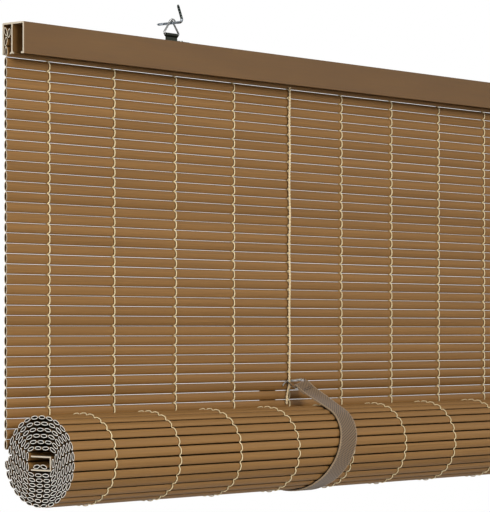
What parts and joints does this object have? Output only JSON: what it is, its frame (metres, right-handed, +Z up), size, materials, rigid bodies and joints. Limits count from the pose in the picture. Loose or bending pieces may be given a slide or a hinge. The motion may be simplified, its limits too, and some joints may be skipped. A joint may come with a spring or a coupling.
{
  "type": "roll-up blind",
  "caption": "Hanging roll-up window blind of hollow vinyl slats strung on cords, rolled at the bottom, with a channel headrail, hanger rings on screw hooks and straps that carry the roll.",
  "frame": {"origin": "midway between the two hook shanks, on the wall's face", "axes": "+X along the slats to the right as seen from the room, +Y back into the wall along the hooks' shanks, +Z up"},
  "size_m": [1.2192, 0.0903, 0.4104],
  "materials": {
    "slat_vinyl": "satin",
    "rail_vinyl": "satin",
    "string": "matte",
    "webbing": "matte",
    "dark_wire": "satin",
    "zinc_wire": "satin",
    "bracket_steel": "satin",
    "rivet_metal": "satin"
  },
  "bodies": {
    "wall_hooks": {"screw_hooks": "dark_wire"},
    "rings": {"hanger_rings": "zinc_wire"},
    "blind": {"headrail": "rail_vinyl", "bottom_rail": "rail_vinyl", "rolled_mat": "slat_vinyl", "tucked_slats": "slat_vinyl", "slat_01": "slat_vinyl", "slat_02": "slat_vinyl", "slat_03": "slat_vinyl", "slat_04": "slat_vinyl", "slat_05": "slat_vinyl", "slat_06": "slat_vinyl", "slat_07": "slat_vinyl", "slat_08": "slat_vinyl", "slat_09": "slat_vinyl", "slat_10": "slat_vinyl", "slat_11": "slat_vinyl", "slat_12": "slat_vinyl", "slat_13": "slat_vinyl", "slat_14": "slat_vinyl", "slat_15": "slat_vinyl", "slat_16": "slat_vinyl", "slat_17": "slat_vinyl", "slat_18": "slat_vinyl", "slat_19": "slat_vinyl", "slat_20": "slat_vinyl", "slat_21": "slat_vinyl", "slat_22": "slat_vinyl", "slat_23": "slat_vinyl", "slat_24": "slat_vinyl", "slat_25": "slat_vinyl", "slat_26": "slat_vinyl", "slat_27": "slat_vinyl", "slat_28": "slat_vinyl", "slat_29": "slat_vinyl", "slat_30": "slat_vinyl", "slat_31": "slat_vinyl", "slat_32": "slat_vinyl", "slat_33": "slat_vinyl", "slat_34": "slat_vinyl", "slat_35": "slat_vinyl", "slat_36": "slat_vinyl", "slat_37": "slat_vinyl", "slat_38": "slat_vinyl", "rail_slat_1": "slat_vinyl", "rail_slat_2": "slat_vinyl", "rail_slat_3": "slat_vinyl", "rail_slat_4": "slat_vinyl", "warp_strings": "string", "support_cord_left": "string", "support_cord_right": "string", "strap_left": "webbing", "strap_right": "webbing", "hanger_brackets": "bracket_steel", "bracket_rivets": "rivet_metal", "strap_rings": "zinc_wire", "strap_rivets": "rivet_metal"}
  },
  "joints": [
    {"name": "ring_swing", "type": "hinge", "parent": "wall_hooks", "child": "rings", "pos_m": [0, -0.008, 0.002], "axis": [1, 0, 0], "range_deg": [-25, 0]},
    {"name": "blind_swing", "type": "hinge", "parent": "rings", "child": "blind", "pos_m": [0, -0.008, -0.01], "axis": [1, 0, 0], "range_deg": [-35, 0]}
  ]
}
